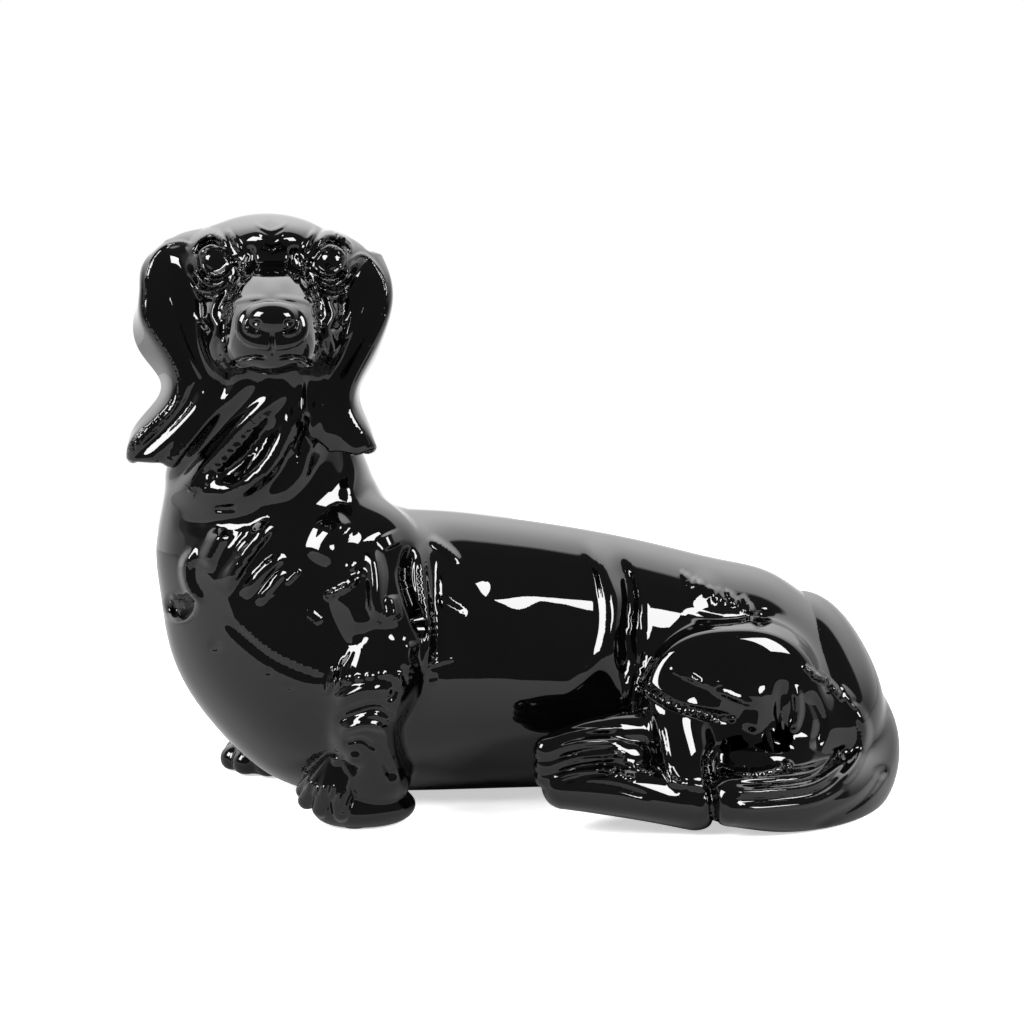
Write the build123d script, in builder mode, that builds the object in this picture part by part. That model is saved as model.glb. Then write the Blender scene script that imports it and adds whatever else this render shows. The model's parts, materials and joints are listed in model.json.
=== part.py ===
from build123d import *
import os
from math import cos, radians, sin

os.makedirs("parts", exist_ok=True)

# Slip-cast, glazed ceramic dachshund. Millimetres, +Z up, the dog faces -X and its left
# flank faces -Y. The origin is below the middle of the whole figure, on the table top.
# Each casting is luted to its neighbour at a face that the two share.

# ---- driving sizes ------------------------------------------------------------------
wall = 5.5  # cast wall of the hollow pieces
body_length = 370.0  # front of the chest to the rump
back_height = 136.0  # height of the back behind the shoulders
body_width = 120.0  # across the ribs
neck_width = 72.0  # across the neck below the head
neck_depth = 76.0
head_length = 116.0  # back of the skull to the tip of the nose
skull_width = 82.0
skull_height = 76.0
muzzle_width = 42.0
muzzle_height = 34.0
head_height = 270.0  # centre of the skull above the table
head_yaw = 8.0  # degrees that the face turns from the left flank towards the chest
head_pitch = 13.0  # degrees that the face looks up
ear_length = 104.0
ear_width = 56.0
ear_thickness = 12.0
forearm_width = 42.0
forearm_depth = 36.0
paw_length = 54.0
paw_width = 42.0
paw_height = 40.0
far_paw_height = 32.0
stagger = 34.0  # how far the right foreleg stands ahead of the left one
haunch_length = 118.0
haunch_height = 106.0
haunch_reach = 92.0  # how far the left haunch stands out from the body's axis
far_haunch_reach = 72.0  # the same for the right haunch
foot_length = 92.0
foot_width = 40.0
foot_height = 42.0
tail_width = 30.0  # across the band, seen from the side
tail_depth = 24.0
tail_reach = 107.0  # near edge of the tail from the body's axis
vent_diameter = 9.0  # hole that lets the hollow body breathe in the kiln
neck_vent_diameter = 12.0  # hole between the hollow neck and the hollow head
pad_diameter = 14.0
pad_thickness = 2.0
pad_recess = 1.4  # depth of the pocket that each pad sits in

# ---- places worked out from them ----------------------------------------------------
sole = pad_thickness - pad_recess  # the ceramic stands this far above the table
flank = body_width / 2
chest_x = -177.7  # front of the chest, and the body's axis, from the origin
axis_y = 20.0


def along(share):
    """Position on X of a share of the body's length, from the front of the chest."""
    return chest_x + share * body_length


neck_foot_x = along(0.155)
head_x = along(0.151)
head_y = axis_y - 26.0
yaw = radians(head_yaw)
pitch = radians(head_pitch)
face = (-sin(yaw) * cos(pitch), -cos(yaw) * cos(pitch), sin(pitch))
head_frame = Plane(origin=(head_x, head_y, head_height), x_dir=(cos(yaw), -sin(yaw), 0), z_dir=face)
skull_back = -0.32 * head_length

# ---- places of the legs and their pads ----------------------------------------------
shoulder_z = 0.74 * back_height
elbow_z = 0.60 * back_height
near_leg_x = along(0.256)
near_leg_y = axis_y - flank + 8.0
far_leg_x = near_leg_x - stagger
far_leg_y = axis_y + flank - 12.0
near_heel_x = near_leg_x + 0.52 * forearm_width
far_heel_x = far_leg_x + 0.52 * forearm_width
haunch_x = along(0.755)
haunch_z = 0.33 * back_height
foot_heel_x = along(0.70)
foot_y = axis_y - haunch_reach + foot_width / 2 + 4.0
near_paw_pad = (near_heel_x - 0.5 * paw_length, near_leg_y)
far_paw_pad = (far_heel_x - 0.5 * paw_length, far_leg_y)
near_haunch_pad = (haunch_x - 6.0, axis_y - 0.66 * haunch_reach)
far_haunch_pad = (haunch_x, axis_y + 0.66 * far_haunch_reach)

# Cross-sections of the trunk: share of the length, then the centre height, half height
# and half width as shares of the back's height and of half the body's width.
trunk_sections = [
    (0.000, 0.840, 0.150, 0.300),
    (0.020, 0.824, 0.320, 0.660),
    (0.068, 0.740, 0.440, 0.900),
    (0.143, 0.650, 0.530, 1.030),
    (0.238, 0.600, 0.580, 1.100),
    (0.360, 0.515, 0.530, 1.030),
    (0.481, 0.482, 0.507, 0.970),
    (0.589, 0.452, 0.478, 0.950),
    (0.724, 0.408, 0.434, 0.970),
    (0.849, 0.346, 0.368, 0.900),
    (0.941, 0.250, 0.257, 0.700),
    (0.995, 0.162, 0.132, 0.430),
]

# Cross-sections of the neck: share of the way up to the skull's centre, shift in X and Y
# from the neck's foot, then the half sizes as shares of half the neck.
neck_sections = [
    (0.40, 0.0, 0.0, 1.40, 1.24),
    (0.58, 1.0, -2.0, 1.46, 1.20),
    (0.70, 0.0, -6.0, 1.08, 1.06),
    (0.84, 0.0, -14.0, 0.95, 0.92),
    (0.98, 0.0, -22.0, 0.84, 0.78),
]

# Cross-sections of the head: share of the way from the back of the skull to the nose,
# drop below the skull's centre, then half width and half height.
head_sections = [
    (0.00, 2.0, 0.22 * skull_width, 0.22 * skull_height),
    (0.08, 0.0, 0.40 * skull_width, 0.40 * skull_height),
    (0.30, 0.0, 0.50 * skull_width, 0.50 * skull_height),
    (0.48, 2.0, 0.48 * skull_width, 0.47 * skull_height),
    (0.64, 13.0, 0.36 * skull_width, 0.39 * skull_height),
    (0.80, 26.0, 0.54 * muzzle_width, 0.66 * muzzle_height),
    (0.93, 32.0, 0.48 * muzzle_width, 0.54 * muzzle_height),
    (1.00, 34.0, 0.30 * muzzle_width, 0.34 * muzzle_height),
]

# Cross-sections of an ear: drop as a share of its length, distance out from the side of
# the skull, distance back, half thickness and half width as shares, and a turn about Z.
ear_sections = [
    (0.00, -3.0, 6.0, 0.80, 0.46, 6),
    (0.20, 5.0, 8.0, 1.00, 0.86, 8),
    (0.42, 8.0, 10.0, 1.05, 1.00, 6),
    (0.66, 6.0, 6.0, 1.00, 0.90, 0),
    (0.88, 14.0, 2.0, 1.00, 0.92, -12),
    (1.00, 22.0, 0.0, 0.60, 0.56, -16),
]

# Cross-sections of a paw: share of the way from the heel to the toes, then half width
# and height as shares of the paw's.
paw_sections = [
    (0.00, 0.28, 0.52),
    (0.16, 0.44, 0.90),
    (0.45, 0.50, 1.00),
    (0.78, 0.48, 0.68),
    (1.00, 0.30, 0.36),
]

# Cross-sections of a haunch: share of the way out from the body's axis, and its size.
haunch_sections = [(0.10, 1.00), (0.45, 1.00), (0.72, 0.90), (0.90, 0.66), (1.00, 0.36)]


def upright(x, y, z):
    """Plane across the body's length."""
    return Plane(origin=(x, y, z), x_dir=(0, 1, 0), z_dir=(1, 0, 0))


def level(x, y, z, turn=0):
    """Level plane, turned about Z."""
    x_dir = (cos(radians(turn)), sin(radians(turn)), 0)
    return Plane(origin=(x, y, z), x_dir=x_dir, z_dir=(0, 0, 1))


def trunk_rings(inset):
    """Trunk cross-sections, drawn in by the cast wall where the trunk is hollow."""
    rings = []
    for share, centre, half_height, half_width in trunk_sections:
        plane = upright(along(share) + inset * (1 - 2 * share), axis_y, centre * back_height)
        rings.append((plane, half_width * flank - inset, half_height * back_height - inset))
    return rings


def neck_rings(inset):
    """Neck cross-sections, drawn in by the cast wall where the neck is hollow."""
    rings = []
    for share, shift_x, shift_y, half_x, half_y in neck_sections:
        plane = level(neck_foot_x + shift_x, axis_y + shift_y, share * head_height)
        rings.append((plane, half_x * neck_width / 2 - inset, half_y * neck_depth / 2 - inset))
    return rings


def head_rings(inset):
    """Head cross-sections, square to the way that the face looks."""
    rings = []
    for share, drop, half_width, half_height in head_sections:
        ahead = skull_back + share * head_length + inset * (1 - 2 * share)
        middle = head_frame.from_local_coords((0, -drop, ahead))
        plane = Plane(origin=middle, x_dir=head_frame.x_dir, z_dir=head_frame.z_dir)
        rings.append((plane, half_width - inset, half_height - inset))
    return rings


def ear_rings(side):
    """Ear cross-sections; side is -1 for the ear on the chest's side of the head."""
    rings = []
    for drop, out, back, half_thickness, half_width, turn in ear_sections:
        x = head_x + side * (skull_width / 2 + out)
        plane = level(x, head_y + back, ear_top - drop * ear_length, side * turn)
        rings.append((plane, half_thickness * ear_thickness / 2, half_width * ear_width / 2))
    return rings


def foreleg_rings(leg_x, leg_y, shoulder_back, shoulder_in):
    """Level cross-sections of a foreleg, from inside the shoulder down into the paw."""
    half_x = forearm_width / 2
    half_y = forearm_depth / 2
    shoulder_x = leg_x + shoulder_back
    shoulder_y = leg_y + shoulder_in
    return [
        (level(shoulder_x, shoulder_y, shoulder_z + 26.0), 1.30 * half_x, 0.90 * half_y),
        (level(shoulder_x, shoulder_y, shoulder_z), 1.50 * half_x, 1.20 * half_y),
        (level(leg_x + 4.0, leg_y, elbow_z), 1.20 * half_x, 1.10 * half_y),
        (level(leg_x, leg_y, (elbow_z + paw_height) / 2), half_x, half_y),
        (level(leg_x, leg_y, paw_height), 0.86 * half_x, 0.90 * half_y),
        (level(leg_x - 2.0, leg_y, 0.6 * paw_height), 0.90 * half_x, 0.95 * half_y),
    ]


def paw_rings(heel_x, paw_y, length, width, height):
    """Upright cross-sections of a paw, which dips below its sole so that it trims flat."""
    low = sole - 2.0
    rings = []
    for share, half_width, top in paw_sections:
        plane = upright(heel_x - share * length, paw_y, (low + top * height) / 2)
        rings.append((plane, half_width * width, (top * height - low) / 2))
    return rings


def haunch_rings(reach, side, inset):
    """Upright cross-sections of a haunch, closing towards the outside of the flank."""
    rings = []
    for share, size in haunch_sections:
        middle = (haunch_x, axis_y + side * share * (reach - inset), haunch_z)
        plane = Plane(origin=middle, x_dir=(1, 0, 0), z_dir=(0, side, 0))
        rings.append((plane, size * haunch_length / 2 - inset, size * haunch_height / 2 - inset))
    return rings


# ---- outer forms, which the castings are cut against, and the hollows inside them ----
with BuildPart() as trunk_form:
    for plane, half_x, half_y in trunk_rings(0):
        with BuildSketch(plane):
            Ellipse(half_x, half_y)
    loft()
    for plane, half_x, half_y in neck_rings(0):
        with BuildSketch(plane):
            Ellipse(half_x, half_y)
    loft()
    split(bisect_by=Plane.XY.offset(sole), keep=Keep.TOP)

with BuildPart() as trunk_hollow:
    for plane, half_x, half_y in trunk_rings(wall):
        with BuildSketch(plane):
            Ellipse(half_x, half_y)
    loft()
    for plane, half_x, half_y in neck_rings(wall):
        with BuildSketch(plane):
            Ellipse(half_x, half_y)
    loft()
    split(bisect_by=Plane.XY.offset(sole + wall), keep=Keep.TOP)

with BuildPart() as head_form:
    for plane, half_x, half_y in head_rings(0):
        with BuildSketch(plane):
            Ellipse(half_x, half_y)
    loft()

with BuildPart() as left_haunch_hollow:
    for plane, half_x, half_y in haunch_rings(haunch_reach, -1, wall):
        with BuildSketch(plane):
            Ellipse(half_x, half_y)
    loft()
    split(bisect_by=Plane.XY.offset(sole + wall), keep=Keep.TOP)

with BuildPart() as right_haunch_hollow:
    for plane, half_x, half_y in haunch_rings(far_haunch_reach, 1, wall):
        with BuildSketch(plane):
            Ellipse(half_x, half_y)
    loft()
    split(bisect_by=Plane.XY.offset(sole + wall), keep=Keep.TOP)

# ---- trunk: body, chest and neck in one hollow casting ------------------------------
with BuildPart() as trunk:
    add(trunk_form.part)
    add(trunk_hollow.part, mode=Mode.SUBTRACT)
    add(head_form.part, mode=Mode.SUBTRACT)
    with BuildSketch(Plane.XY.offset(sole)):
        with Locations((along(0.48), axis_y)):
            Circle(vent_diameter / 2)
    extrude(amount=2 * wall, mode=Mode.SUBTRACT)
trunk.part.label = "trunk"
export_step(trunk.part, "parts/trunk.step")

# ---- head: hollow, with a hole down into the neck -----------------------------------
with BuildPart() as head:
    add(head_form.part)
    for plane, half_x, half_y in head_rings(wall):
        with BuildSketch(plane):
            Ellipse(half_x, half_y)
    loft(mode=Mode.SUBTRACT)
    with BuildSketch(Plane.XY.offset(head_height)):
        with Locations((head_x, head_y)):
            Circle(neck_vent_diameter / 2)
    extrude(amount=-skull_height, mode=Mode.SUBTRACT)
head.part.label = "head"
export_step(head.part, "parts/head.step")

# ---- ears: long leaves that hang from the sides of the skull ------------------------
ear_top = head_height + 10.0

with BuildPart() as ear_right:
    for plane, half_x, half_y in ear_rings(-1):
        with BuildSketch(plane):
            Ellipse(half_x, half_y)
    loft()
    add(head_form.part, mode=Mode.SUBTRACT)
    add(trunk_form.part, mode=Mode.SUBTRACT)
ear_right.part.label = "ear_right"
export_step(ear_right.part, "parts/ear_right.step")

with BuildPart() as ear_left:
    for plane, half_x, half_y in ear_rings(1):
        with BuildSketch(plane):
            Ellipse(half_x, half_y)
    loft()
    add(head_form.part, mode=Mode.SUBTRACT)
    add(trunk_form.part, mode=Mode.SUBTRACT)
ear_left.part.label = "ear_left"
export_step(ear_left.part, "parts/ear_left.step")

# ---- forelegs: shoulder, forearm and paw --------------------------------------------
with BuildPart() as foreleg_left:
    for plane, half_x, half_y in foreleg_rings(near_leg_x, near_leg_y, 3.0, 3.0):
        with BuildSketch(plane):
            Ellipse(half_x, half_y)
    loft()
    for plane, half_x, half_y in paw_rings(near_heel_x, near_leg_y, paw_length, paw_width, paw_height):
        with BuildSketch(plane):
            Ellipse(half_x, half_y)
    loft()
    add(trunk_form.part, mode=Mode.SUBTRACT)
    split(bisect_by=Plane.XY.offset(sole), keep=Keep.TOP)
    with BuildSketch(Plane.XY.offset(sole)):
        with Locations(near_paw_pad):
            Circle(pad_diameter / 2)
    extrude(amount=pad_recess, mode=Mode.SUBTRACT)
foreleg_left.part.label = "foreleg_left"
export_step(foreleg_left.part, "parts/foreleg_left.step")

with BuildPart() as foreleg_right:
    for plane, half_x, half_y in foreleg_rings(far_leg_x, far_leg_y, 14.0, 2.0):
        with BuildSketch(plane):
            Ellipse(half_x, half_y)
    loft()
    for plane, half_x, half_y in paw_rings(far_heel_x, far_leg_y, paw_length, paw_width, far_paw_height):
        with BuildSketch(plane):
            Ellipse(half_x, half_y)
    loft()
    add(trunk_form.part, mode=Mode.SUBTRACT)
    split(bisect_by=Plane.XY.offset(sole), keep=Keep.TOP)
    with BuildSketch(Plane.XY.offset(sole)):
        with Locations(far_paw_pad):
            Circle(pad_diameter / 2)
    extrude(amount=pad_recess, mode=Mode.SUBTRACT)
foreleg_right.part.label = "foreleg_right"
export_step(foreleg_right.part, "parts/foreleg_right.step")

# ---- hind legs: the left one folded forward, the right one tucked under the rump ----
with BuildPart() as hind_leg_left:
    for plane, half_x, half_y in haunch_rings(haunch_reach, -1, 0):
        with BuildSketch(plane):
            Ellipse(half_x, half_y)
    loft()
    for plane, half_x, half_y in paw_rings(foot_heel_x, foot_y, foot_length, foot_width, foot_height):
        with BuildSketch(plane):
            Ellipse(half_x, half_y)
    loft()
    add(left_haunch_hollow.part, mode=Mode.SUBTRACT)
    add(trunk_form.part, mode=Mode.SUBTRACT)
    split(bisect_by=Plane.XY.offset(sole), keep=Keep.TOP)
    with BuildSketch(Plane.XY.offset(sole)):
        with Locations(near_haunch_pad):
            Circle(pad_diameter / 2)
    extrude(amount=pad_recess, mode=Mode.SUBTRACT)
hind_leg_left.part.label = "hind_leg_left"
export_step(hind_leg_left.part, "parts/hind_leg_left.step")

with BuildPart() as hind_leg_right:
    for plane, half_x, half_y in haunch_rings(far_haunch_reach, 1, 0):
        with BuildSketch(plane):
            Ellipse(half_x, half_y)
    loft()
    add(right_haunch_hollow.part, mode=Mode.SUBTRACT)
    add(trunk_form.part, mode=Mode.SUBTRACT)
    split(bisect_by=Plane.XY.offset(sole), keep=Keep.TOP)
    with BuildSketch(Plane.XY.offset(sole)):
        with Locations(far_haunch_pad):
            Circle(pad_diameter / 2)
    extrude(amount=pad_recess, mode=Mode.SUBTRACT)
hind_leg_right.part.label = "hind_leg_right"
export_step(hind_leg_right.part, "parts/hind_leg_right.step")

# ---- tail: a thick band laid round the rump, its tip under the left hock ------------
tail_root_x = along(0.965)
tail_mid_y = axis_y - tail_reach + tail_depth / 2
# Centre, the way that the band runs, and its size, from the root to the tip.
tail_stations = [
    ((tail_root_x - 8.0, axis_y + 4.0, 34.0), (0.35, -1.0, -0.25), 0.92),
    ((tail_root_x - 2.0, axis_y - 34.0, 26.0), (-0.10, -1.0, -0.18), 1.00),
    ((tail_root_x - 22.0, axis_y - 70.0, 20.0), (-0.80, -0.75, -0.10), 1.04),
    ((tail_root_x - 62.0, tail_mid_y, 17.0), (-1.0, -0.06, 0.0), 1.00),
    ((tail_root_x - 102.0, tail_mid_y + 4.0, 15.0), (-1.0, 0.10, 0.0), 0.84),
]
with BuildPart() as tail:
    for middle, ahead, size in tail_stations:
        across = Vector(0, 0, 1).cross(Vector(*ahead))
        with BuildSketch(Plane(origin=middle, x_dir=across, z_dir=ahead)):
            Ellipse(size * tail_depth / 2, size * tail_width / 2)
    loft()
    add(trunk_form.part, mode=Mode.SUBTRACT)
    add(hind_leg_left.part, mode=Mode.SUBTRACT)
    split(bisect_by=Plane.XY.offset(sole), keep=Keep.TOP)
tail.part.label = "tail"
export_step(tail.part, "parts/tail.step")

# ---- felt pads in their pockets -----------------------------------------------------
with BuildPart() as felt_pads:
    with BuildSketch(Plane.XY):
        with Locations(near_paw_pad, far_paw_pad, near_haunch_pad, far_haunch_pad):
            Circle(pad_diameter / 2)
    extrude(amount=pad_thickness)
felt_pads.part.label = "felt_pads"
export_step(felt_pads.part, "parts/felt_pads.step")
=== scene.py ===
import json
import math

import bmesh
import bpy
import numpy as np
from mathutils import Matrix, Vector

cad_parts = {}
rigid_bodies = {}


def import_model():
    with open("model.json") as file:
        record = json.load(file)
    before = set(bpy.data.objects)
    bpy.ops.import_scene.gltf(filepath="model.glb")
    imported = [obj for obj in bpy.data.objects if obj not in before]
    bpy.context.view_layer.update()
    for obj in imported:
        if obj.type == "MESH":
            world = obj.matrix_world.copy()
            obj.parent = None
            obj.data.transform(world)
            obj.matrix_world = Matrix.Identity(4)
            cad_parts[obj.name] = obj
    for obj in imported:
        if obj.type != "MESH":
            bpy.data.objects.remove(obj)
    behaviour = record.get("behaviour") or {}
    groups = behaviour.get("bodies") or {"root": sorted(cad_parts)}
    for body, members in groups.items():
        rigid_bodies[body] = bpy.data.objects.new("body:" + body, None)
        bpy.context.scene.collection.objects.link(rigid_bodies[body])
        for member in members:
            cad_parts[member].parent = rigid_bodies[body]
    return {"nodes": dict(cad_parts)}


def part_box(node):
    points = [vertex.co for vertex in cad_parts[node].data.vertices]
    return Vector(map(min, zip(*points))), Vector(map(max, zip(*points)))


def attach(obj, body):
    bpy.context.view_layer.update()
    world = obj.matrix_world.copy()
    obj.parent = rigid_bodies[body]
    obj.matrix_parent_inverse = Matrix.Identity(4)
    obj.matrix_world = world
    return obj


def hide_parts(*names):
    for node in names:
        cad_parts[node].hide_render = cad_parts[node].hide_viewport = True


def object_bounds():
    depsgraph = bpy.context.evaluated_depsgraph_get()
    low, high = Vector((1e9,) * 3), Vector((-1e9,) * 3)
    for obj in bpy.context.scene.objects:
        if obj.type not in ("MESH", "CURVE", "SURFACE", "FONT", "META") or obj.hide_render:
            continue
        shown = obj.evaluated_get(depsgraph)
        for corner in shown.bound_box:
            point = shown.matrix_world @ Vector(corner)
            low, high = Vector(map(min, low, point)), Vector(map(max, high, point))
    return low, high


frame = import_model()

bl_info = {
    "name": "Ceramic dachshund",
    "version": (1, 0, 0),
    "blender": (4, 5, 0),
    "location": "View3D > Sidebar > Dachshund",
    "description": "Glazed ceramic dachshund, modelled like clay from named masses and folds",
    "category": "Object",
}

MM = 0.001
SPARE = 3.0  # room round a mass's box, beyond where it blends
CAD_BOUNDS = [list(corner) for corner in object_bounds()]
TRUNK_LOW, TRUNK_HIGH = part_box("trunk")
PAD_LOW, PAD_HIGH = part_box("felt_pads")
SOLE = (TRUNK_LOW[2] - PAD_LOW[2]) / MM

# The modelling stand: millimetres from a point on the table below the body's axis.
STAND = np.array([TRUNK_LOW[0] / MM + 173.7, (TRUNK_LOW[1] + TRUNK_HIGH[1]) / 2 / MM, 0.0])

# The figure is modelled as it is seen from the modeller's stool. The board stands
# upright to the line of sight through the figure's middle: u runs to the right on it,
# v up, and w is the height above it towards the stool.
STOOL_TURN = math.radians(-8)
STOOL_RISE = math.radians(13)
STOOL_DISTANCE = 1350.0
AIM = np.array([0.0, 0.0, 139.6])
TOWARDS = np.array([
    math.sin(STOOL_TURN) * math.cos(STOOL_RISE),
    -math.cos(STOOL_TURN) * math.cos(STOOL_RISE),
    math.sin(STOOL_RISE),
])
ACROSS = np.array([math.cos(STOOL_TURN), math.sin(STOOL_TURN), 0.0])
UPWARDS = np.cross(TOWARDS, ACROSS)


def to_board(points):
    """Where points of the stand are seen on the board, and how far above it."""
    rel = points - AIM
    w = rel @ TOWARDS
    grow = STOOL_DISTANCE / (STOOL_DISTANCE - w)
    return np.stack([rel @ ACROSS * grow, rel @ UPWARDS * grow, w], -1)


def from_board(u, v, w):
    """The point of the stand that is seen at u, v and lies w above the board."""
    shrink = (STOOL_DISTANCE - w) / STOOL_DISTANCE
    return AIM + ACROSS * (u * shrink) + UPWARDS * (v * shrink) + TOWARDS * w


def flank(u, v, y):
    """The point of the stand that is seen at u, v and lies y from the body's axis."""
    eye = AIM + TOWARDS * STOOL_DISTANCE
    ray = AIM + ACROSS * u + UPWARDS * v - eye
    return eye + ray * ((y - eye[1]) / ray[1])


def smooth_curve(points, step):
    """Points along a Catmull-Rom curve through the given ones, about a step apart."""
    pts = np.asarray(points, float)
    if len(pts) < 3:
        n = max(2, int(np.linalg.norm(pts[-1] - pts[0]) / step) + 1)
        t = np.linspace(0, 1, n)[:, None]
        return pts[0] * (1 - t) + pts[-1] * t
    padded = np.vstack([2 * pts[0] - pts[1], pts, 2 * pts[-1] - pts[-2]])
    out = []
    for a, b, c, d in zip(padded, padded[1:], padded[2:], padded[3:]):
        n = max(2, int(np.linalg.norm((c - b)[:2]) / step) + 1)
        t = np.linspace(0, 1, n, endpoint=False)[:, None]
        out.append(0.5 * (2 * b + (c - a) * t + (2 * a - 5 * b + 4 * c - d) * t**2
                          + (3 * b - a - 3 * c + d) * t**3))
    return np.vstack(out + [pts[-1:]])


def segment_distance(q, line):
    """Distance from q to each segment of a polyline, and the share along it."""
    dims = q.shape[1]
    a = line[:-1, :dims]
    seg = line[1:, :dims] - a
    long = np.maximum((seg**2).sum(1), 1e-9)
    t = np.clip((q @ seg.T - (a * seg).sum(1)) / long, 0, 1)
    square = (q**2).sum(1)[:, None] - 2 * (q @ a.T) + (a**2).sum(1)
    along = (q @ seg.T - (a * seg).sum(1))
    return np.sqrt(np.maximum(square - 2 * t * along + t**2 * long, 0)), t


def blend(a, b, k):
    """Smooth union of two distances, with a fillet about k wide."""
    h = np.maximum(k - np.abs(a - b), 0.0) / k
    return np.minimum(a, b) - h**3 * k / 6


class Ball:
    """An ellipsoid of clay, or of air where it is cut away."""

    def __init__(self, centre, radii, k=10.0, piece="trunk", board=False, cut=False):
        self.centre = np.asarray(centre, float)
        self.radii = np.asarray(radii if np.ndim(radii) else (radii,) * 3, float)
        self.k, self.piece, self.board, self.cut = k, piece, board, cut
        reach = self.radii + k + SPARE
        self.low, self.high = self.centre - reach, self.centre + reach

    def distance(self, q):
        p = q - self.centre
        k0 = np.sqrt(((p / self.radii) ** 2).sum(1))
        k1 = np.sqrt(((p / self.radii**2) ** 2).sum(1))
        return k0 * (k0 - 1) / np.maximum(k1, 1e-6)

    def seeds(self):
        yield self.centre, np.diag(self.radii)


class Spline:
    """A natural cubic curve through rows of numbers, so that surfaces on it have no kinks."""

    def __init__(self, at, rows):
        self.at, self.rows = np.asarray(at, float), np.asarray(rows, float)
        n = len(self.at)
        gap = np.diff(self.at)
        lhs, rhs = np.eye(n), np.zeros_like(self.rows)
        for i in range(1, n - 1):
            lhs[i, i - 1:i + 2] = gap[i - 1], 2 * (gap[i - 1] + gap[i]), gap[i]
            after = (self.rows[i + 1] - self.rows[i]) / gap[i]
            before = (self.rows[i] - self.rows[i - 1]) / gap[i - 1]
            rhs[i] = 6 * (after - before)
        self.bend = np.linalg.solve(lhs, rhs)

    def __call__(self, at):
        """Values and their rates of change."""
        i = np.clip(np.searchsorted(self.at, at) - 1, 0, len(self.at) - 2)
        h = (self.at[i + 1] - self.at[i])[:, None]
        b = (at - self.at[i])[:, None] / h
        a = 1 - b
        y0, y1, m0, m1 = self.rows[i], self.rows[i + 1], self.bend[i], self.bend[i + 1]
        value = a * y0 + b * y1 + ((a**3 - a) * m0 + (b**3 - b) * m1) * h**2 / 6
        rate = (y1 - y0) / h + ((3 * b**2 - 1) * m1 - (3 * a**2 - 1) * m0) * h / 6
        return value, rate


class Limb:
    """A round-ended bar of clay along a curve, with a radius at each of its points."""

    def __init__(self, points, k=8.0, piece="trunk", board=False, cut=False, flat=(1, 1, 1)):
        self.flat = np.asarray(flat, float)
        points = np.asarray(points, float)
        run = np.concatenate([[0], np.cumsum(np.linalg.norm(np.diff(points[:, :3], axis=0), axis=1))])
        self.end = run[-1]
        self.curve = Spline(run, np.hstack([points[:, :3] * self.flat, points[:, 3:]]))
        self.ticks = np.linspace(0, self.end, max(2, int(self.end / 5) + 1))
        self.line = self.curve(self.ticks)[0]
        self.k, self.piece, self.board, self.cut = k, piece, board, cut
        real, reach = self.line[:, :3] / self.flat, self.line[:, 3:] / self.flat + k + SPARE
        self.low, self.high = (real - reach).min(0), (real + reach).max(0)

    def distance(self, q):
        q = q * self.flat
        d, t = segment_distance(q, self.line)
        i = d.argmin(1)
        at = self.ticks[i] + t[np.arange(len(q)), i] * (self.ticks[1] - self.ticks[0])
        for _ in range(2):
            value, rate = self.curve(at)
            rel = q - value[:, :3]
            at = np.clip(at + (rel * rate[:, :3]).sum(1) / (rate[:, :3] ** 2).sum(1), 0, self.end)
        value, _ = self.curve(at)
        return np.linalg.norm(q - value[:, :3], axis=1) - value[:, 3]

    def seeds(self):
        at = 0.0
        while True:
            x = self.curve(np.array([at]))[0][0]
            yield x[:3] / self.flat, np.diag(x[3] / self.flat)
            if at >= self.end:
                return
            at = min(self.end, at + 0.45 * max(x[3], 2.0))


class Loft:
    """Oval sections along a straight axis: (place on it, two offsets, two half sizes)."""

    def __init__(self, axis, sections, caps=(10, 10), k=10.0, piece="trunk", board=False, power=2.0):
        self.axis, self.power = axis, power
        self.over = [i for i in range(3) if i != axis]
        sections = np.array(sorted(sections), float)
        self.curve = Spline(sections[:, 0], sections[:, 1:])
        self.caps = caps
        self.k, self.piece, self.board, self.cut = k, piece, board, False
        self.first, self.last = sections[0, 0], sections[-1, 0]
        self.low, self.high = np.zeros(3), np.zeros(3)
        self.low[axis], self.high[axis] = self.first - caps[0] - k - SPARE, self.last + caps[1] + k + SPARE
        self.low[self.over] = (sections[:, 1:3] - sections[:, 3:5]).min(0) - k - 5
        self.high[self.over] = (sections[:, 1:3] + sections[:, 3:5]).max(0) + k + 5

    def distance(self, q):
        at = np.clip(q[:, self.axis], self.first, self.last)
        value, _ = self.curve(at)
        beyond = q[:, self.axis] - at
        cap = np.where(beyond < 0, self.caps[0], self.caps[1])
        off = np.stack([q[:, self.over[0]] - value[:, 0], q[:, self.over[1]] - value[:, 1], beyond], 1)
        size = np.stack([value[:, 2], value[:, 3], cap], 1)
        ratio = np.abs(off / size)
        k0 = np.maximum((ratio**self.power).sum(1), 1e-9) ** (1 / self.power)
        k1 = np.sqrt(((ratio ** (self.power - 1) / size) ** 2).sum(1))
        return (k0 - 1) * k0 ** (self.power - 1) / np.maximum(k1, 1e-6)

    def seeds(self):
        at = self.first
        while True:
            x = self.curve(np.array([at]))[0][0]
            centre, sizes = np.zeros(3), np.zeros(3)
            centre[self.axis], centre[self.over] = at, x[:2]
            sizes[self.over] = x[2:]
            sizes[self.axis] = min(x[2:])
            if at == self.first:
                sizes[self.axis] = self.caps[0]
            if at >= self.last:
                sizes[self.axis] = self.caps[1]
            yield centre, np.diag(sizes)
            if at >= self.last:
                return
            at = min(self.last, at + 0.4 * min(x[2:]))


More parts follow.
